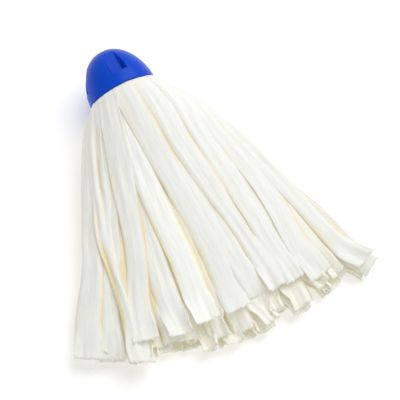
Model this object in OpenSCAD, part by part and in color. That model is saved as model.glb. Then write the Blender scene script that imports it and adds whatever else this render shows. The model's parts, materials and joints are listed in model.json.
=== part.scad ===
// Strip mop head, lying on a flat surface.
// A domed plastic socket holds the folded roots of many flat cloth strips, which
// fan out over the surface in four layers. The handle screws into the socket.
// Units are millimetres. +Z is up, the surface is z = 0, the strips point to -Y
// and the handle leaves towards +Y. The origin is under the middle of the head.

/* [Socket] */
// Outer diameter of the socket at its mouth
skirt_d = 68; // [50:1:90]
// Height that the whole dome ellipse would have, if nothing cut its top off
dome_rise = 47; // [35:1:60]
// Height of the socket from its mouth to the handle opening
socket_h = 43.5; // [32:0.5:56]
// Wall thickness of the moulding
wall = 2.4; // [1.5:0.1:4]
// Upward tilt of the socket's axis as the head lies
tilt = 14; // [0:1:25]

/* [Handle fit] */
// Diameter of the handle bore, at the crests of its thread
bore_d = 22; // [18:0.5:30]
// Wall of the tube around the bore
tube_wall = 2.4; // [1.5:0.1:4]
// Height of the tube's inner end above the mouth
tube_start = 6; // [2:0.5:12]
// Thickness of the four webs that join the tube to the dome
web_t = 2; // [1:0.1:4]

/* [Grip pockets] */
// Height of a pocket's step above the mouth
pocket_start = 12; // [6:0.5:20]
// Length of a pocket's floor
pocket_len = 27; // [10:0.5:32]
// Width of a pocket's floor
pocket_w = 11; // [6:0.2:20]
// Slope of a pocket's two side walls, away from square to its floor
pocket_draft = 24; // [0:1:40]
// Distance of a pocket's floor from the socket's axis, at the step
pocket_floor_r = 24.5; // [20:0.1:34]
// Lean of a pocket's floor towards the axis
pocket_lean = 8; // [0:0.1:25]

/* [Root clamp] */
// Inner radius of the sleeve of the retaining plug
plug_bore_r = 13.6; // [10:0.1:20]
// Wall of the sleeve of the retaining plug
plug_wall = 2; // [1:0.1:4]
// Height that the sleeve reaches above the mouth
plug_top = 26; // [12:1:36]
// Radius of the plug's foot, which fills the middle of the mouth
plug_foot_r = 17.2; // [14:0.1:22]
// Height of the strips' roots above the mouth
root_h = 6; // [4:0.5:14]
// Outer radius of the ring that the strips are folded over
ring_r = 25.6; // [20:0.1:30]
// Thickness of that ring
ring_t = 2.5; // [1:0.1:5]

/* [Strips] */
// Strips in each of the four layers
columns = 13; // [9:1:14]
// Length of a middle strip outside the socket
strip_len = 258; // [180:1:400]
// Extra length of the strips on the +X side
len_skew = 17; // [0:1:30]
// Extra length of the strips at both edges of the fan
len_edge = 12; // [0:1:20]
// How much shorter each layer is than the one below it
layer_step = 6; // [0:0.5:15]
// Largest random change of a strip's length
len_vary = 6; // [0:0.5:15]
// Half of the angle that the fan spreads over
fan_half = 30.5; // [10:0.5:45]
// Turn of the whole fan about the vertical, towards -X
fan_yaw = -5; // [-20:0.5:20]
// Sideways bulge of the fan's two edges
fan_bow = 75; // [0:5:150]
// Extra bulge of the whole fan towards +X
bow_skew = 30; // [0:5:60]
// Share by which the gathered strips swell as they leave the mouth
swell = 0.2; // [0:0.05:0.4]
// Height of one layer at the strips' free ends
layer_h = 6; // [2:0.5:10]

/* [Hidden] */
$fn = 96;
skirt_r = skirt_d / 2;
mouth_z = skirt_r * cos(tilt);
bore_r = bore_d / 2;
tube_r = bore_r + tube_wall;
profile_steps = 24;
quarter_turns = [0, 90, 180, 270];
clear = 0.3;
past = 1;
root_split_r = ring_r - 1.1;
rings = [
    [root_split_r + clear / 2, skirt_r - wall - 0.5],
    [plug_foot_r + 1.1, root_split_r - clear / 2]
];
layers = 4;
sections = 9;
fill_root = 0.94;
fill_end = 0.55;
fill_side = 0.95;
drape_power = 1.4;
bow_power = 1.5;
swell_power = 8;
edge_thin = 0.3;

// ---- The socket, drawn about its own axis with its mouth at z = 0 ----

// Radius of an ellipse-shaped dome at a height above the mouth
function dome_r(h, r, rise) = r * sqrt(max(0, 1 - pow(h / rise, 2)));

// Solid dome that is cut off flat at height top
module dome_solid(r, rise, top) {
    edge = [for (i = [0 : profile_steps])
        let (h = top * sin(90 * i / profile_steps)) [dome_r(h, r, rise), h]];
    rotate_extrude() polygon(concat([[0, 0]], edge, [[0, top]]));
}

// Half of a pocket's width at a height above its floor, with grow added to each side
function pocket_half(rise, grow) =
    pocket_w / 2 + rise * tan(pocket_draft) + grow / cos(pocket_draft);

// Prism that widens outwards from a pocket's floor. grow widens it on all sides.
module pocket_prism(grow) {
    low = pocket_half(-grow, grow);
    high = pocket_half(skirt_r, grow);
    translate([pocket_floor_r, 0, pocket_start])
        rotate([0, -pocket_lean, 0])
            translate([0, 0, -grow])
                linear_extrude(height = pocket_len + grow)
                    polygon([
                        [-grow, -low],
                        [skirt_r, -high],
                        [skirt_r, high],
                        [-grow, low]
                    ]);
}

module pocket_set(grow)
    for (a = quarter_turns) rotate([0, 0, a]) pocket_prism(grow);

module tube_solid(r)
    translate([0, 0, tube_start]) cylinder(r = r, h = socket_h - tube_start);

module webs() {
    web_start = plug_top + past;
    for (a = quarter_turns)
        rotate([0, 0, a + 45])
            translate([tube_r - wall / 2, -web_t / 2, web_start])
                cube([skirt_r, web_t, socket_h - web_start]);
}

// Everything that adds material inside the dome's outer surface
module inner_features() {
    pocket_set(wall);
    tube_solid(tube_r);
    webs();
}

module shell_body() {
    difference() {
        dome_solid(skirt_r, dome_rise, socket_h);
        translate([0, 0, -past])
            cylinder(r = skirt_r - wall, h = past + clear);
        dome_solid(skirt_r - wall, dome_rise - wall, socket_h - wall);
    }
    intersection() {
        dome_solid(skirt_r, dome_rise, socket_h);
        inner_features();
    }
}

// Moves a shape from the socket's own axis to where the socket lies
module lay_down()
    translate([-middle[0], -middle[1], mouth_z])
        rotate([-(90 - tilt), 0, 0]) children();

module socket_shell()
    color([0.02, 0.2, 0.7])
        lay_down()
            difference() {
                shell_body();
                pocket_set(0);
                translate([0, 0, tube_start - past])
                    cylinder(r = bore_r, h = socket_h - tube_start + 2 * past);
            }

// Plug that is pressed over the handle tube and closes the mouth's middle
module retaining_plug()
    color([0.85, 0.85, 0.82])
        lay_down()
            rotate_extrude()
                polygon([
                    [0, 0.5],
                    [plug_foot_r, 0.5],
                    [plug_foot_r, 2.5],
                    [plug_bore_r + plug_wall, root_h],
                    [plug_bore_r + plug_wall, plug_top],
                    [plug_bore_r, plug_top],
                    [plug_bore_r, tube_start - clear],
                    [0, tube_start - clear]
                ]);

// Flat ring that the strips are folded over, just above their roots
module fold_ring()
    color([0.85, 0.85, 0.82])
        lay_down()
            translate([0, 0, root_h + clear])
                difference() {
                    cylinder(r = ring_r, h = ring_t);
                    translate([0, 0, -past])
                        cylinder(r = plug_bore_r + plug_wall + clear, h = ring_t + 2 * past);
                }

// ---- The strips ----
// Layers are numbered from the floor up. The outer ring of roots makes the lowest
// and the highest layer, and the inner ring makes the two between them.

function half_sign(layer) = layer < layers / 2 ? -1 : 1;
function ring_of(layer) = rings[layer == 0 || layer == layers - 1 ? 0 : 1];

// How far along a nominal strip a distance from the mouth lies, from 0 to 1
function along(dist) = min(1, max(0, dist / strip_len));

// Radius in the ring of roots for a share q of a layer, counted from its underside
function radius_at(layer, q) =
    let (r = ring_of(layer), low = half_sign(layer) > 0 ? 0 : 1)
    r[low] + (r[1 - low] - r[low]) * q;

// Point of a layer at distance dist from the mouth, at fan position u from -1 to 1
function fan_point(dist, u, layer, q) =
    let (
        s = along(dist),
        round = pow(1 - s, drape_power),
        rho = radius_at(layer, q),
        puff = 1 + swell * (1 - pow(1 - s, swell_power)),
        turn = 90 * u,
        head = fan_yaw + fan_half * u,
        rise = rho * cos(turn) * (half_sign(layer) > 0 ? puff : -1),
        bow = (fan_bow * u + bow_skew) * s * pow(1 - s, bow_power),
        lift = (layer + q) * layer_h * (1 - edge_thin * u * u)
    )
    [
        (1 - s) * rho * puff * sin(turn) + dist * sin(head) + bow,
        -dist * cos(head) - round * rise * sin(tilt),
        round * (mouth_z + rise * cos(tilt)) + (1 - round) * lift
    ];

// The same inside the socket, at a height above the mouth
function root_point(h, u, layer, q) =
    let (p = fan_point(0, u, layer, q))
    [p[0], p[1] + h * cos(tilt), p[2] + h * sin(tilt)];

// A repeatable value from -1 to 1 for each strip
function vary(column, layer) = sin(137 * column + 61 * layer + 53 * column * layer);

function column_u(column) = -1 + (2 * column + 1) / columns;

function strip_length(column, layer) =
    let (u = column_u(column))
    strip_len + len_skew * u + len_edge * u * u
        - layer_step * layer + len_vary * vary(column, layer);

// Four corners of a strip's cross-section, in order around it
function section_points(dist, column, layer) =
    let (
        half_u = fill_side / columns,
        fill = fill_root + (fill_end - fill_root) * along(dist),
        q = layer == 0 ? [0, fill] : [0.5 - fill / 2, 0.5 + fill / 2],
        corners = [[-1, q[0]], [1, q[0]], [1, q[1]], [-1, q[1]]]
    )
    [for (c = corners)
        let (u = column_u(column) + c[0] * half_u)
        dist < 0 ? root_point(-dist, u, layer, c[1]) : fan_point(dist, u, layer, c[1])];

function strip_points(column, layer) =
    let (len = strip_length(column, layer))
    [for (i = [-1 : sections - 1])
        each section_points(i < 0 ? -root_h : len * i / (sections - 1), column, layer)];

// Triangles of a tube with four sides and both ends closed
function tube_faces(count) = concat(
    [[0, 1, 2], [0, 2, 3]],
    [for (i = [0 : count - 2], j = [0 : 3])
        let (a = 4 * i + j, b = 4 * i + (j + 1) % 4)
        each [[a, a + 4, b], [b, a + 4, b + 4]]],
    [[4 * count - 4, 4 * count - 2, 4 * count - 3],
     [4 * count - 4, 4 * count - 1, 4 * count - 2]]
);

// The head's extent, so that its middle can be put over the origin
all_points = [for (k = [0 : layers - 1], i = [0 : columns - 1]) each strip_points(i, k)];
all_x = [for (p = all_points) p[0]];
strip_y = [for (p = all_points) p[1]];
dome_y = [for (i = [0 : profile_steps])
    let (h = socket_h * sin(90 * i / profile_steps))
    h * cos(tilt) + dome_r(h, skirt_r, dome_rise) * sin(tilt)];
middle = [(min(all_x) + max(all_x)) / 2, (min(strip_y) + max(dome_y)) / 2];

module strip(column, layer)
    color([0.96, 0.96, 0.92])
        translate([-middle[0], -middle[1], 0])
            polyhedron(
                points = strip_points(column, layer),
                faces = tube_faces(sections + 1),
                convexity = 4
            );

function strip_name(column, layer) = str("strip_", "abcd"[layer], column + 1);

socket_shell();
retaining_plug();
fold_ring();
for (k = [0 : layers - 1], i = [0 : columns - 1])
    strip(i, k);
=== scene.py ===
import json
import math

import bpy
import numpy as np
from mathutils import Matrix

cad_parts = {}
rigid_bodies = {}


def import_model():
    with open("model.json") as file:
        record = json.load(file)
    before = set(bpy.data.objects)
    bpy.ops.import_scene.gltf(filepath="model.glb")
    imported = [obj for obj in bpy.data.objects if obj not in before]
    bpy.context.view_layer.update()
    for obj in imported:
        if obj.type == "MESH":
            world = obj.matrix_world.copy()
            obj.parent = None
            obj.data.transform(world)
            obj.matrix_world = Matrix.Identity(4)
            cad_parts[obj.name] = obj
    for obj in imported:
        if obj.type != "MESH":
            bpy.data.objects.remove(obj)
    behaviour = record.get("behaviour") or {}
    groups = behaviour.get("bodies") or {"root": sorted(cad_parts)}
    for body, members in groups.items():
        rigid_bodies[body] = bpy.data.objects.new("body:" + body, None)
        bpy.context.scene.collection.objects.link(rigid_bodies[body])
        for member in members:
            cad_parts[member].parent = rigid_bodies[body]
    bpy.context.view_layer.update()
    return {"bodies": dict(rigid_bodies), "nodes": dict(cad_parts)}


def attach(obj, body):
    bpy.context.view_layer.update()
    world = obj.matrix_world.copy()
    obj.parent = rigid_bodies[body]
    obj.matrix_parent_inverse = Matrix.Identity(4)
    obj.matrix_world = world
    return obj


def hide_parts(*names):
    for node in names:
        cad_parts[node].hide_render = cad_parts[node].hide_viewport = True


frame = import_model()
BODY = next(iter(frame["bodies"]))

# Lengths are in millimetres, unless they say otherwise. Places across the fan go from -1 at
# its -X side to 1, distances along it start at the socket's mouth, and a pair of distances
# that something happens between is (start, end).
MM = 0.001

# ---- The fan, with the same numbers as in the CAD source ----
MOUTH = np.array([13.2463, 113.534, 32.9901])
TILT = math.radians(14)
STRIP_LEN = 258.0
FAN_HALF, FAN_YAW = math.radians(30.5), math.radians(-5)
FAN_BOW, BOW_SKEW, BOW_POWER = 75.0, 30.0, 1.5
SWELL, SWELL_POWER = 0.2, 8
DRAPE_POWER = 1.4
LAYER_H, EDGE_THIN = 6.0, 0.3
RINGS = ((24.65, 31.1), (18.3, 24.35))
COLUMNS, LAYERS = 13, 4
TOP, BELOW_TOP = LAYERS - 1, LAYERS - 2

# ---- The camera, and the point on the surface it looks at, in X and Y from the mouth ----
AZIMUTH, ELEVATION = math.radians(-29.18), math.radians(62)
CAMERA_DISTANCE = 938.4
LENS, SENSOR = 90, 36
LOOK_AT = (16.49, -119.8)

# ---- A strip and its grid ----
# A strip's shape is squeezed until it fits its chord, but to no less than LEAST_HELD.
STRIP_W, STRIP_T = 25.0, 0.9
ROOT_IN = 5.0
ACROSS, STEP_ALONG = 31, 2.5
SHARE_STEP = 0.01
LEAST_CHORD, WIDEST_CHORD = 6, STRIP_W * 0.97
LEAST_HELD = 0.78

# ---- The top layer, as the photograph shows it, from -X to +X ----
# At each of the stations: a strip's left edge and right edge across the fan, and how far it
# has sunk below its neighbours. Then its visible length, and its roll in degrees.
STATIONS = (20, 80, 150, 220)
TOP_STRIPS = (
    ((-0.98, -0.71, 0.5), (-0.96, -0.74, 0), (-0.94, -0.785, 0), (-1.06, -0.835, 0.5), 259, 4),
    ((-0.80, -0.66, 0), (-0.78, -0.70, 0), (-0.74, -0.655, -0.8), (-0.69, -0.57, -1), 264, -22),
    ((-0.72, -0.46, 1.5), (-0.72, -0.55, 1.5), (-0.78, -0.635, 1.5), (-0.87, -0.735, 2.2), 258, 0),
    ((-0.57, -0.25, 0), (-0.58, -0.33, 0), (-0.575, -0.40, 0), (-0.65, -0.50, -0.3), 245, 0),
    ((-0.45, -0.20, 3), (-0.44, -0.23, 3), (-0.48, -0.29, 2.6), (-0.44, -0.27, 1.8), 246, 2),
    (
        (-0.36, -0.10, 3), (-0.345, -0.145, 1), (-0.345, -0.09, -0.3), (-0.28, -0.065, -0.5),
        242, -6,
    ),
    ((-0.27, 0.09, 0), (-0.15, 0.045, 0), (-0.045, 0.155, 0), (-0.012, 0.145, 0.5), 242, -3),
    ((-0.02, 0.26, 2.5), (0.00, 0.22, 2.5), (0.08, 0.26, 2.5), (0.155, 0.295, 1), 238, -4),
    ((0.13, 0.41, 0.5), (0.08, 0.33, 0), (0.215, 0.36, 0.5), (0.305, 0.44, 0.5), 240, 2),
    ((0.42, 0.80, 0), (0.345, 0.52, 0), (0.36, 0.605, 0), (0.45, 0.585, 0.5), 244, -2),
    ((0.72, 0.95, 1.5), (0.54, 0.77, 0), (0.575, 0.81, 0), (0.56, 0.765, -0.3), 256, -3),
    ((0.80, 1.00, 2), (0.75, 0.92, 1), (0.79, 0.91, 1), (0.85, 1.00, 0), 278, 0),
    ((0.85, 1.00, 2.5), (0.76, 0.94, 2.5), (0.76, 0.93, 2), (0.86, 1.03, 2), 284, 8),
)
# A strip sunk this far is tucked under others. One strip is folded lengthwise.
TUCKED = 2.0
FOLDED = {1}
# How far an edge drops: beside a strip it is flush with, beside an open gap, and elsewhere.
# Gaps are measured like places across. In a narrow one both edges reach past its middle.
FLUSH_DROP, VALLEY_DROP, OUTER_DROP = 0.4, 2.6, 1.5
GAP_OPENS = (-0.02, 0.03)
NARROW_GAP, OVERLAP = 0.055, 0.012
GATHERED_DROP, DROP_GROWS = 0.25, (10, 80)
SMOOTHINGS = 90

# ---- The three layers below it, counted from the surface up ----
# How far out the lowest ends look: (place across, distance from the mouth). The camera sees
# a lower layer further out than it is, by so much a layer, and each strip is cut shorter than
# that at random.
LOWEST_ENDS = (
    (-0.95, 261), (-0.60, 265), (-0.40, 257), (-0.15, 268), (0.12, 271),
    (0.25, 262), (0.50, 274), (0.80, 276), (0.95, 288),
)
LOOKS_LONGER = 1.8
CUT_SHORT, CUT_SHORT_PER_LAYER = 3, 4
# A strip's width in the fan, how far it strays in columns, and its limits at each station.
LOWER_WIDTH, STRAY = 2.9 / COLUMNS, 0.4
LOWER_LIMITS = (-0.82, -0.83, -0.85, -0.97), (0.80, 0.79, 0.81, 0.94)
LOWER_DROPS = (0.5, 2)
# How far a strip may bulge up, and how much more where it reaches past the top layer, which
# it doesn't do at the fan's sides.
LOWER_ROOM, FREE_ROOM = 2.5, 5.0
NO_FREE_ROOM = (0.6, 0.8)
# A strip just below the top layer that shows through a gap: its place across at each
# station, how far it sinks, between which distances, and its roll in degrees.
SEEN_BELOW = {5: ((-0.20, -0.20, -0.155, -0.12), 1.0, (60, 120), 20)}

# ---- How high a strip lies in its layer, as a share of the layer's height ----
TOP_LEVEL, LOWER_LEVEL, ODD_RAISED = 0.9, 0.55, 0.12
GAP_RAISED, GAP_RISES, GAP_FALLS = 0.65, (30, 90), (215, 250)

# ---- How a strip wanders: by how much, and how long its bends are ----
WAVES, WAVES_PEAK = ((1, 1), (0.53, 0.45)), 1.3
FREE_FROM = (20, 160)
PLACE_WANDER = (0.007, 130)
LEVEL_WANDER = (0.06, 95)
RIPPLE, RIPPLE_FROM = (0.5, 48), 110
TWIST_WANDER = (math.radians(4), 120)
ROLL_GROWS = (60, 150)

# ---- The slopes of the cloth across a strip ----
CROWN_SLOPE = 0.07
TURNED = 0.55
PLEAT_SLOPE, FOLD_SLOPE = 0.36, 1.3
LEAST_PLEAT = 0.01
# Each kind of pleat: how many go across, and their part of the slope.
PLEATS = (((1.2, 2.2), 0.7), ((2.6, 4.2), 0.45))
PLEAT_DRIFT = (1.1, 170)
PLEAT_FADE = (0.4, 110)
FLATTER_AT_MOUTH, SHAPE_GROWS = 0.25, (-2, 24)
RIM_BULGE, BULGE_RISES, BULGE_FALLS = 3.3, (-0.3, 3.5), (20, 90)

# ---- Creases, whose places and widths are in half widths of the strip ----
CREASES = 7
CREASE_PLACES, CREASE_DRIFT, CREASE_WIDTH = 0.9, (0.12, 160), 0.1
CREASE_DEPTHS, CREASE_REACHES = (0.12, 0.4), (50, 160)
CREASE_FIRST, CREASE_LAST = -40, 0.7
CREASE_FADE_IN, CREASE_FADE_OUT = 25, 40

# ---- The cut ends, whose zones are measured back from the end ----
# The second zone is where the painted shade between strips fades out near the cut end.
END_ZONE, END_WITHOUT_PAINTED_SHADE, PAST_TOP = (34, 4), (42, 18), (18, 6)
TOP_BENDS, LOWER_BENDS = (-0.5, 1.0), (-0.8, 2.2)
TOP_FOLDS, LOWER_FOLDS = (0.1, 0.5), (0.7, 1.2)
END_FOLDS = ((1, (0.8, 2.0)), (0.6, (2.2, 4.5)))
# The share of the ends that curl, two of three of them up, by how much in each layer, over
# which length, and the rows before the curl that give its direction.
CURLED, CURL_WAYS = 0.6, (-1, 1, 1)
LEAST_CURL, MOST_CURL = 0.3, (0.8, 0.6, 0.4, 0.9)
CURL_REACHES, CURL_ROWS = (8, 18), 3
CUT_SLANT, CUT_ROUGH, CUT_ROWS = 1.5, 0.9, 6
FLOOR_GAP, FLOOR_ZONE, FLOOR_BEND, FLOOR_PRESS = 0.1, 1, 2, 0.9

# ---- Painted shade between strips, and the cloth's brightness, partly painted light ----
# Painted shade: cloth lying deep between strips, and the lower ends, are coloured darker and
# warmer.
TOP_PAINTED_SHADE_DROPS = (0.2, 2.6)
LOWER_PAINTED_SHADE, PAINTED_SHADE_PER_HEIGHT, END_PAINTED_SHADE = 0.65, 0.1, 0.12
SIDES_WITHOUT_PAINTED_SHADE = (0.65, 0.85)
# Random tones, then painted light: the lower layers are made lighter against the shade they lie
# in, and two top strips, by column, lighter where light falls or darker as in shade.
USUAL_TONES, LOWER_PAINTED_LIGHT = (0.96, 1.0), 1.04
TOP_PAINTED_LIGHT_AND_SHADE = {5: 1.06, 12: 0.95}
SEED, SEED_PER_LAYER = 1000, 37

# ---- The rounded edges of the socket's shell ----
JOIN_WITHIN = 0.001
EDGE_ROUNDING, EDGE_SEGMENTS, EDGE_ANGLE = 0.5, 3, math.radians(35)

# ---- The studio, in metres and watts ----
FLOOR_HALF = 3.0
LAMP_COLOUR = (0.98, 0.99, 1.0)
KEY_PLACE, KEY_SIZE, KEY_POWER = (0.9, 0.35, 1.5), 1.6, 16.6
FILL_PLACE, FILL_SIZE, FILL_POWER = (-0.1, -1.3, 0.9), 1.2, 1.5
WORLD_COLOUR, WORLD_STRENGTH = (0.97, 0.985, 1, 1), 0.55


def aim_camera():
    """The photograph's angle: high above the surface, from the left of the head's axis."""
    look_at = np.array([MOUTH[0] + LOOK_AT[0], MOUTH[1] + LOOK_AT[1], 0])
    back = np.array([
        math.sin(AZIMUTH) * math.cos(ELEVATION),
        -math.cos(AZIMUTH) * math.cos(ELEVATION),
        math.sin(ELEVATION),
    ])
    data = bpy.data.cameras.new("camera")
    data.lens, data.sensor_width = LENS, SENSOR
    camera = bpy.data.objects.new("camera", data)
    camera.location = (look_at + back * CAMERA_DISTANCE) * MM
    camera.rotation_euler = (math.pi / 2 - ELEVATION, 0, AZIMUTH)
    bpy.context.scene.collection.objects.link(camera)
    bpy.context.scene.camera = camera


# ---- The fan: a point for every distance, place across and layer ----

def smooth(x, low, high):
    """Rises smoothly from 0 at low to 1 at high."""
    t = np.clip((np.asarray(x, float) - low) / (high - low), 0, 1)
    return t * t * (3 - 2 * t)


def unit(v):
    """The vectors, each made one long."""
    return v / np.maximum(np.linalg.norm(v, axis=-1, keepdims=True), 1e-9)


def fan_points(dist, u, layer, q):
    """Points of the fan. dist is negative inside the socket, u is the place across, and q is
    how high the point lies in its layer."""
    dist, u, q = np.broadcast_arrays(*(np.asarray(v, float) for v in (dist, u, q)))
    inside = np.minimum(dist, 0)
    dist = np.maximum(dist, 0)
    s = np.clip(dist / STRIP_LEN, 0, 1)
    above = layer >= LAYERS / 2
    low, high = RINGS[0 if layer in (0, TOP) else 1]
    rho = low + (high - low) * (q if above else 1 - q)
    puff = 1 + SWELL * (1 - (1 - s) ** SWELL_POWER)
    turn = math.pi / 2 * u
    head = FAN_YAW + FAN_HALF * u
    rise = rho * np.cos(turn) * (puff if above else -1)
    bow = (FAN_BOW * u + BOW_SKEW) * s * (1 - s) ** BOW_POWER
    lift = (layer + q) * LAYER_H * (1 - EDGE_THIN * u * u)
    loft = (1 - s) ** DRAPE_POWER
    x = (1 - s) * rho * puff * np.sin(turn) + dist * np.sin(head) + bow
    y = -dist * np.cos(head) - loft * rise * math.sin(TILT)
    z = loft * (MOUTH[2] + rise * math.cos(TILT)) + (1 - loft) * lift
    y = y - inside * math.cos(TILT)
    z = z - inside * math.sin(TILT)
    return np.stack([x + MOUTH[0], y + MOUTH[1], z], -1)


def wander(rng, dist, size, wave):
    """A smooth random curve of about +-size along a strip, whose bends are about wave long."""
    along = np.linspace(0, dist[-1], len(dist))
    waves = [(wave * w, rng.uniform(0, 2 * math.pi), part) for w, part in WAVES]
    curve = sum(part * np.sin(2 * math.pi * along / w + p) for w, p, part in waves)
    return size * (curve / WAVES_PEAK)


def towards_end(dist, zone):
    """Rises from 0 to 1 along the zone, which is measured back from the cut end."""
    return smooth(dist, dist[-1] - zone[0], dist[-1] - zone[1])


# ---- Where each strip runs ----

def top_edges():
    """Each top strip's left and right edge and how far they drop, at each station."""
    stations = range(len(STATIONS))
    edges = np.array([
        [[strip[k][side] for k in stations] for side in (0, 1)] for strip in TOP_STRIPS
    ])
    drops = np.full_like(edges, OUTER_DROP)
    for k in stations:
        shown = [i for i in range(COLUMNS) if TOP_STRIPS[i][k][2] < TUCKED]
        shown.sort(key=lambda i: sum(TOP_STRIPS[i][k][:2]))
        for a, b in zip(shown, shown[1:]):
            gap = edges[b, 0, k] - edges[a, 1, k]
            drop = FLUSH_DROP + (VALLEY_DROP - FLUSH_DROP) * smooth(gap, *GAP_OPENS)
            drops[a, 1, k] = drops[b, 0, k] = drop
            if -2 * OVERLAP < gap < NARROW_GAP:
                middle = (edges[a, 1, k] + edges[b, 0, k]) / 2
                edges[a, 1, k], edges[b, 0, k] = middle + OVERLAP, middle - OVERLAP
    return edges, drops


TOP_EDGES, TOP_DROPS = top_edges()


def through_stations(dist, values):
    """A smooth curve close to the value at each station, level before and after them."""
    line = np.interp(dist, STATIONS, values)
    for _ in range(SMOOTHINGS):
        line[1:-1] = (line[:-2] + 2 * line[1:-1] + line[2:]) / 4
    return line


def strip_rows(length):
    """The distances of the grid's rows, from inside the socket to the cut end."""
    return np.linspace(-ROOT_IN, length, int((length + ROOT_IN) / STEP_ALONG) + 1)


def top_plan(column):
    """Where a top strip runs: its distances, and at each of them its place across, width in
    the fan, sink and edge drops, then its roll."""
    *stations, length, roll = TOP_STRIPS[column]
    dist = strip_rows(length)
    left, right = (through_stations(dist, v) for v in TOP_EDGES[column])
    sink = through_stations(dist, [station[2] for station in stations])
    grown = GATHERED_DROP + (1 - GATHERED_DROP) * smooth(dist, *DROP_GROWS)
    drops = [grown * through_stations(dist, v) for v in TOP_DROPS[column]]
    return dist, (left + right) / 2, right - left, sink, drops, math.radians(roll)


def lower_plan(column, layer, rng):
    """The same for a strip of the three lower layers, of which little but the ends is seen."""
    u = -1 + (2 * column + 1) / COLUMNS
    length = np.interp(u, *zip(*LOWEST_ENDS)) - LOOKS_LONGER * (TOP - layer)
    length -= rng.uniform(0, CUT_SHORT + CUT_SHORT_PER_LAYER * layer)
    dist = strip_rows(length)
    places = u + 2 / COLUMNS * rng.uniform(-STRAY, STRAY, len(STATIONS))
    places = np.clip(places, *LOWER_LIMITS)
    width = np.full(len(dist), LOWER_WIDTH)
    drops = [np.full(len(dist), rng.uniform(*LOWER_DROPS)) for _ in range(2)]
    sink, roll = np.zeros(len(dist)), 0
    if layer == BELOW_TOP and column in SEEN_BELOW:
        places, sunk, sinks, roll = SEEN_BELOW[column]
        sink = sunk * smooth(dist, *sinks)
    return dist, through_stations(dist, places), width, sink, drops, math.radians(roll)


def strip_level(column, layer, dist):
    """How high a strip lies in its layer. The layer below the top one rises into its gaps."""
    if layer == TOP:
        return TOP_LEVEL
    level = LOWER_LEVEL + ODD_RAISED * (column % 2)
    if layer == BELOW_TOP:
        level = level + GAP_RAISED * smooth(dist, *GAP_RISES) * (1 - smooth(dist, *GAP_FALLS))
    return level


# ---- The shape of a strip ----

def creases(rng, v, dist):
    """Lengthwise creases, each a narrow ridge or groove that comes and goes along the strip."""
    high = np.zeros((len(dist), len(v)))
    for _ in range(CREASES):
        line = rng.uniform(-CREASE_PLACES, CREASE_PLACES) + wander(rng, dist, *CREASE_DRIFT)
        depth = rng.uniform(*CREASE_DEPTHS) * rng.choice([-1, 1])
        start = rng.uniform(CREASE_FIRST, dist[-1] * CREASE_LAST)
        end = start + rng.uniform(*CREASE_REACHES)
        fade = smooth(dist, start, start + CREASE_FADE_IN)
        fade = fade * (1 - smooth(dist, end, end + CREASE_FADE_OUT))
        ridge = np.exp(-((v - line[:, None]) / CREASE_WIDTH) ** 2)
        high += (depth * fade)[:, None] * ridge
    return high


def end_shape(top, rng):
    """How the cut end's sides bend, and its folds, each as slope, count across and phase."""
    bend = rng.uniform(*(TOP_BENDS if top else LOWER_BENDS), 3)
    deepest = rng.uniform(*(TOP_FOLDS if top else LOWER_FOLDS))
    folds = [
        (deepest * part, rng.uniform(*counts), rng.uniform(0, 2 * math.pi))
        for part, counts in END_FOLDS
    ]
    return bend, folds


def pleat_slopes(rng, v, dist):
    """Lengthwise pleats of about unit slope, which drift sideways and fade along the strip."""
    kinds = [(rng.uniform(*counts), part) for counts, part in PLEATS]
    slopes = 0
    for count, part in kinds:
        phase = rng.uniform(0, 2 * math.pi) + wander(rng, dist, *PLEAT_DRIFT)
        fade = 1 - PLEAT_FADE[0] + wander(rng, dist, *PLEAT_FADE)
        pleat = np.cos(math.pi * count * v + phase[:, None])
        slopes = slopes + (part * fade)[:, None] * pleat
    return slopes


def cross_section(rng, dist, chord, drops, end, steepest):
    """Points across the strip, summed up from the slope of the cloth between them.

    The slope is a crown, edges that drop, a bend and folds at the cut end, and pleats that
    use up the width that the chord leaves over and are no steeper than steepest.
    """
    v = np.linspace(-1, 1, ACROSS)
    half = STRIP_W / 2
    slope = -CROWN_SLOPE * v * np.ones((len(dist), 1))
    for drop, side in zip(drops, (-1, 1)):
        turned = np.clip((side * v - 1 + TURNED) / TURNED, 0, 1)
        slope = slope - side * (drop / (half * TURNED / 2))[:, None] * turned
    near_end = towards_end(dist, END_ZONE)
    (whole, right, left), folds = end
    bend = whole * v + right * np.maximum(v, 0) ** 2 - left * np.maximum(-v, 0) ** 2
    slope = slope + near_end[:, None] * bend
    for depth, count, phase in folds:
        slope = slope + depth * near_end[:, None] * np.cos(math.pi * count * v + phase)
    # Any slope shortens the chord by about half the mean of its square, as a part of the
    # width, and so a wave whose slope goes up to a shortens it by a * a / 4.
    left_over = 4 * (1 - chord / STRIP_W) - 2 * (slope ** 2).mean(1)
    pleated = np.minimum(np.sqrt(np.maximum(left_over, LEAST_PLEAT)), steepest)
    slope = slope + pleated[:, None] * pleat_slopes(rng, v, dist)

    step = STRIP_W / (ACROSS - 1)
    middle = (slope[:, 1:] + slope[:, :-1]) / 2
    start = np.zeros((len(dist), 1))
    wide = np.hstack([start, np.cumsum(np.cos(middle) * step, axis=1)])
    high = np.hstack([start, np.cumsum(np.sin(middle) * step, axis=1)])
    wide -= (wide[:, :1] + wide[:, -1:]) / 2
    held = np.clip(chord / (2 * wide[:, -1]), LEAST_HELD, 1)
    wide *= ((1 - near_end) * held + near_end)[:, None]
    middle_part = np.abs(v) < 1 - TURNED
    high -= high[:, middle_part].mean(1, keepdims=True)
    return wide, high + creases(rng, v, dist)


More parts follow.
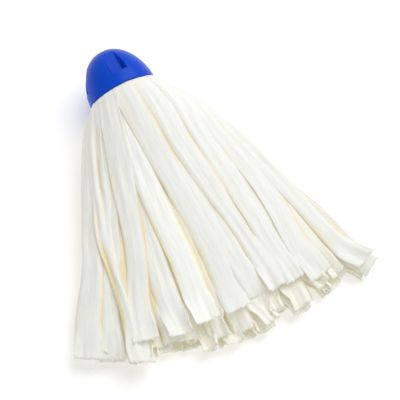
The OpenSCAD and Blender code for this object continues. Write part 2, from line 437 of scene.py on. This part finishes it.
def between_strips(top, dist, dropped, above, place):
    """How deep each point lies between other strips, from 0 to 1: painted shade, which makes the
    cloth darker and warmer there.
    """
    inner = 1 - towards_end(dist, END_WITHOUT_PAINTED_SHADE)[:, None]
    if top:
        return inner * smooth(dropped, *TOP_PAINTED_SHADE_DROPS)
    painted_shade = inner * np.clip(LOWER_PAINTED_SHADE - PAINTED_SHADE_PER_HEIGHT * above, 0, 1)
    painted_shade = painted_shade * (1 - smooth(np.abs(place), *SIDES_WITHOUT_PAINTED_SHADE))
    return np.maximum(painted_shade, END_PAINTED_SHADE * (1 - inner))


def strip_surface(column, layer, rng):
    """The strip's middle surface as a grid of points, the painted shade at each point by how deep
    it lies between other strips, and the strip's cut length."""
    top = layer == TOP
    plan = top_plan(column) if top else lower_plan(column, layer, rng)
    dist, u, share, sink, drops, roll = plan
    free = smooth(dist, *FREE_FROM)
    u = u + free * wander(rng, dist, *PLACE_WANDER)
    q = strip_level(column, layer, dist) + free * wander(rng, dist, *LEVEL_WANDER)
    spread = (
        fan_points(dist, u + SHARE_STEP, layer, q) - fan_points(dist, u - SHARE_STEP, layer, q)
    )
    per_share = np.linalg.norm(spread, axis=-1) / (2 * SHARE_STEP)
    chord = np.clip(share * per_share, LEAST_CHORD, WIDEST_CHORD)
    steepest = FOLD_SLOPE if top and column in FOLDED else PLEAT_SLOPE
    end = end_shape(top, rng)
    wide, high = cross_section(rng, dist, chord, drops, end, steepest)
    dropped = -high
    if not top:
        past_top = towards_end(dist, PAST_TOP) * (1 - smooth(np.abs(u), *NO_FREE_ROOM))
        high = np.minimum(high, (LOWER_ROOM + FREE_ROOM * past_top)[:, None])
    grown = FLATTER_AT_MOUTH + (1 - FLATTER_AT_MOUTH) * smooth(dist, *SHAPE_GROWS)
    high = high * grown[:, None] - sink[:, None]
    high += (smooth(dist, RIPPLE_FROM, dist[-1]) * wander(rng, dist, *RIPPLE))[:, None]
    if top:
        bulge = smooth(dist, *BULGE_RISES) * (1 - smooth(dist, *BULGE_FALLS))
        high += (RIM_BULGE * bulge)[:, None]
    twist = roll * smooth(dist, *ROLL_GROWS) + free * wander(rng, dist, *TWIST_WANDER)
    c, s = np.cos(twist)[:, None], np.sin(twist)[:, None]
    across, above = wide * c - high * s, wide * s + high * c

    place = u[:, None] + across / per_share[:, None]
    rows, levels = dist[:, None], q[:, None]
    grid = fan_points(rows, place, layer, levels)
    side = fan_points(rows, place + SHARE_STEP, layer, levels) - grid
    up = unit(np.cross(np.gradient(grid, axis=0), side))
    painted_shade = between_strips(top, dist, dropped, above, place)
    return grid + up * above[..., None], painted_shade, dist[-1] + ROOT_IN


def curl_end(grid, angle, reach):
    """Rolls the last reach millimetres of the strip up (angle > 0) or down."""
    count = int(reach / STEP_ALONG)
    start = grid[-count - 1]
    ahead = unit((start - grid[-count - 1 - CURL_ROWS]).mean(0))
    side = unit(start[-1] - start[0])
    up = np.cross(ahead, side)
    radius = reach / angle
    for i in range(count):
        turn = (i + 1) * STEP_ALONG / radius
        move = ahead * radius * math.sin(turn) + up * radius * (1 - math.cos(turn))
        grid[len(grid) - count + i] = start + move
    return grid


def cut_end(grid, rng):
    """Slants and roughens the strip's cut end by sliding its last rows along the strip."""
    across = grid.shape[1]
    rough = rng.uniform(-CUT_SLANT, CUT_SLANT) * np.linspace(-1, 1, across)
    rough = rough + rng.uniform(-CUT_ROUGH, CUT_ROUGH, across)
    for i in range(1, CUT_ROWS + 1):
        step = unit(grid[-i] - grid[-i - 1])
        grid[-i] += step * (rough * (1 - (i - 1) / CUT_ROWS) ** 2)[:, None]
    return grid


def above_floor(grid):
    """Presses what would go into the surface onto it."""
    z = grid[..., 2]
    least = STRIP_T / 2 + FLOOR_GAP
    pressed = np.log1p(np.exp((z - least) * FLOOR_BEND)) / FLOOR_BEND * FLOOR_PRESS
    grid[..., 2] = np.where(z < least + FLOOR_ZONE, least + pressed, z)
    return grid


def strip_tone_and_painted_light(column, layer, rng):
    """How bright the strip's cloth is: a random tone, with painted light for the lower layers and
    painted light or shade for two top strips.
    """
    tone_and_painted_light = rng.uniform(*USUAL_TONES)
    return TOP_PAINTED_LIGHT_AND_SHADE.get(column, tone_and_painted_light) if layer == TOP else tone_and_painted_light * LOWER_PAINTED_LIGHT


def strip_object(name, grid, painted_shade, tone_and_painted_light, material):
    """The strip as a mesh of quads with its flat size as UV, made STRIP_T thick."""
    rows, cols = grid.shape[:2]
    faces = [
        (r * cols + c, r * cols + c + 1, (r + 1) * cols + c + 1, (r + 1) * cols + c)
        for r in range(rows - 1) for c in range(cols - 1)
    ]
    mesh = bpy.data.meshes.new(name)
    mesh.from_pydata((grid * MM).reshape(-1, 3).tolist(), [], faces)
    uv = mesh.uv_layers.new(name="cloth")
    across = np.linspace(0, STRIP_W, cols) * MM
    along = np.linspace(0, (rows - 1) * STEP_ALONG, rows) * MM
    for loop in mesh.loops:
        r, c = divmod(loop.vertex_index, cols)
        uv.data[loop.index].uv = (across[c], along[r])
    # Point attributes: the painted shade between strips, and the strip's tone, which is partly
    # painted light.
    for label, values in (("between", painted_shade.ravel()), ("tone_and_painted_light", np.full(rows * cols, tone_and_painted_light))):
        attribute = mesh.attributes.new(label, "FLOAT", "POINT")
        attribute.data.foreach_set("value", values)
    mesh.shade_smooth()
    mesh.materials.append(material)
    obj = bpy.data.objects.new(name, mesh)
    bpy.context.scene.collection.objects.link(obj)
    solid = obj.modifiers.new("thickness", "SOLIDIFY")
    solid.thickness, solid.offset = STRIP_T * MM, 0
    return obj


def build_strips(material):
    for layer in range(LAYERS):
        for column in range(COLUMNS):
            rng = np.random.default_rng(SEED + SEED_PER_LAYER * layer + column)
            grid, painted_shade, length = strip_surface(column, layer, rng)
            if rng.random() < CURLED:
                angle = rng.choice(CURL_WAYS) * rng.uniform(LEAST_CURL, MOST_CURL[layer])
                grid = curl_end(grid, angle, rng.uniform(*CURL_REACHES))
            grid = above_floor(cut_end(grid, rng))
            tone_and_painted_light = strip_tone_and_painted_light(column, layer, rng)
            node = f"strip_{'abcd'[layer]}{column + 1}"
            obj = strip_object("cloth_" + node, grid, painted_shade, tone_and_painted_light, material)
            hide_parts(node)
            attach(obj, BODY)


# ---- Materials ----

def fill(tree, node, inputs):
    """Sets the node's inputs. Each is a value, or another node's output to link."""
    for name, value in inputs.items():
        if isinstance(value, bpy.types.NodeSocket):
            tree.links.new(value, node.inputs[name])
        else:
            node.inputs[name].default_value = value


def add(tree, kind, output, inputs, **settings):
    """Adds a node and returns its output of that name."""
    node = tree.nodes.new("ShaderNode" + kind)
    for name, value in settings.items():
        setattr(node, name, value)
    fill(tree, node, inputs)
    return node.outputs[output]


def add_ramp(tree, fac, low, high, ends=(0, 1)):
    """Adds a ramp from one colour to the other as fac goes from one of the ends to the other."""
    ramp = tree.nodes.new("ShaderNodeValToRGB")
    for stop, position, colour in zip(ramp.color_ramp.elements, ends, (low, high)):
        stop.position, stop.color = position, (*colour, 1)
    fill(tree, ramp, {"Fac": fac})
    return ramp.outputs["Color"]


def new_material(name):
    """A new material, its node tree and its shader."""
    material = bpy.data.materials.new(name)
    material.use_nodes = True
    tree = material.node_tree
    return material, tree, tree.nodes["Principled BSDF"]


def cloth_material():
    """Off-white cloth with stretched creases and fine fibres, with painted warm shade between
    strips, painted light in some strips' tones and a faint painted glow.
    """
    material, tree, shader = new_material("cloth")
    uv = add(tree, "UVMap", "UV", {}, uv_map="cloth")
    stretched = add(tree, "Mapping", "Vector", {"Vector": uv, "Scale": (1, 0.16, 1)})
    crinkle = add(tree, "TexNoise", "Fac", {
        "Vector": stretched, "Scale": 300, "Detail": 6, "Distortion": 0.5,
    })
    fibres = add(tree, "TexNoise", "Fac", {"Vector": uv, "Scale": 1500, "Detail": 3})
    white = add_ramp(tree, crinkle, (0.80, 0.815, 0.79), (0.86, 0.875, 0.855), (0.3, 0.7))
    # Painted shade: a warm, darker tint where the cloth lies deep between strips.
    between = add(tree, "Attribute", "Fac", {}, attribute_name="between")
    painted_shade_tint = add_ramp(tree, between, (1, 1, 1), (0.97, 0.83, 0.55))
    white_with_painted_shade = add(
        tree, "Mix", "Result", {"Factor": 1, "A": white, "B": painted_shade_tint},
        data_type="RGBA", blend_type="MULTIPLY",
    )
    # The strip's tone: random, and partly painted light or shade.
    tone_and_painted_light = add(tree, "Attribute", "Fac", {}, attribute_name="tone_and_painted_light")
    colour_with_painted_light = add(tree, "VectorMath", "Vector", {0: white_with_painted_shade, 1: tone_and_painted_light}, operation="MULTIPLY")
    rough = add(tree, "MapRange", "Result", {"Value": fibres, "To Min": 0.78, "To Max": 0.95})
    low = add(tree, "Bump", "Normal", {"Strength": 0.35, "Distance": 0.0012, "Height": crinkle})
    fine = add(tree, "Bump", "Normal", {
        "Strength": 0.35, "Distance": 0.0003, "Height": fibres, "Normal": low,
    })
    fill(tree, shader, {
        "Base Color": colour_with_painted_light,
        "Roughness": rough,
        "Normal": fine,
        "Subsurface Weight": 0.35,
        "Subsurface Radius": (1.0, 0.9, 0.7),
        "Subsurface Scale": 0.001,
        # A faint warm glow: painted light, which lightens and warms the cloth's shade.
        "Emission Color": (1.0, 0.86, 0.5, 1),
        "Emission Strength": 0.10,
        "Specular IOR Level": 0.15,
        "Sheen Weight": 0.15,
        "Sheen Roughness": 0.5,
    })
    return material


def plastic_material(name, dark, light, roughness):
    """Moulded plastic with a slight cloudiness and a fine grain."""
    material, tree, shader = new_material(name)
    place = add(tree, "TexCoord", "Object", {})
    cloud = add(tree, "TexNoise", "Fac", {"Vector": place, "Scale": 60, "Detail": 3})
    grain = add(tree, "TexNoise", "Fac", {"Vector": place, "Scale": 900})
    rough = add(tree, "MapRange", "Result", {
        "Value": cloud, "To Min": roughness - 0.05, "To Max": roughness + 0.08,
    })
    bumps = add(tree, "Bump", "Normal", {"Strength": 0.15, "Distance": 0.0001, "Height": grain})
    fill(tree, shader, {
        "Base Color": add_ramp(tree, cloud, dark, light),
        "Roughness": rough,
        "Normal": bumps,
        "Specular IOR Level": 0.15,
    })
    return material


def finish_plastic_nodes():
    """Gives the plastic nodes of the CAD their materials, and rounds the shell's edges."""
    blue = plastic_material("socket_blue", (0, 0.058, 0.56), (0, 0.072, 0.64), 0.3)
    white = plastic_material("inner_plastic", (0.72, 0.72, 0.68), (0.8, 0.8, 0.76), 0.5)
    for node, material in (
        ("socket_shell", blue), ("retaining_plug", white), ("fold_ring", white)
    ):
        obj = frame["nodes"][node]
        obj.data.materials.clear()
        obj.data.materials.append(material)
    # The CAD's faces don't share their corners, so they are joined for the bevel to work.
    shell = frame["nodes"]["socket_shell"]
    shell.modifiers.new("joined faces", "WELD").merge_threshold = JOIN_WITHIN * MM
    bevel = shell.modifiers.new("rounded edges", "BEVEL")
    bevel.width, bevel.segments = EDGE_ROUNDING * MM, EDGE_SEGMENTS
    bevel.limit_method, bevel.angle_limit = "ANGLE", EDGE_ANGLE
    bevel.harden_normals, bevel.use_clamp_overlap = True, False


# ---- The studio ----

def build_floor():
    """A plain pale floor that glows a little, so that it comes out white."""
    mesh = bpy.data.meshes.new("floor")
    half = FLOOR_HALF
    corners = [(-half, -half, 0), (half, -half, 0), (half, half, 0), (-half, half, 0)]
    mesh.from_pydata(corners, [], [(0, 1, 2, 3)])
    floor = bpy.data.objects.new("floor", mesh)
    bpy.context.scene.collection.objects.link(floor)
    material, tree, shader = new_material("floor")
    fill(tree, shader, {
        "Base Color": (0.92, 0.91, 0.89, 1),
        "Roughness": 0.9,
        "Emission Color": (1, 1, 1, 1),
        "Emission Strength": 0.25,
    })
    mesh.materials.append(material)


def area_light(name, place, size, power):
    """A round soft light that shines at the middle of the scene."""
    data = bpy.data.lights.new(name, "AREA")
    data.shape, data.size, data.energy, data.color = "DISK", size, power, LAMP_COLOUR
    lamp = bpy.data.objects.new(name, data)
    lamp.location = place
    x, y, z = place
    lamp.rotation_euler = (math.atan2(math.hypot(x, y), z), 0, math.atan2(-x, y) + math.pi)
    bpy.context.scene.collection.objects.link(lamp)


def light_studio():
    """A key light from the right, a weak fill light from the front, and a pale sky."""
    area_light("key", KEY_PLACE, KEY_SIZE, KEY_POWER)
    area_light("fill", FILL_PLACE, FILL_SIZE, FILL_POWER)
    world = bpy.data.worlds.new("studio")
    world.use_nodes = True
    tree = world.node_tree
    light = {"Color": WORLD_COLOUR, "Strength": WORLD_STRENGTH}
    fill(tree, tree.nodes["Background"], light)
    bpy.context.scene.world = world
    bpy.context.scene.view_settings.view_transform = "Standard"


aim_camera()
build_strips(cloth_material())
finish_plastic_nodes()
build_floor()
light_studio()
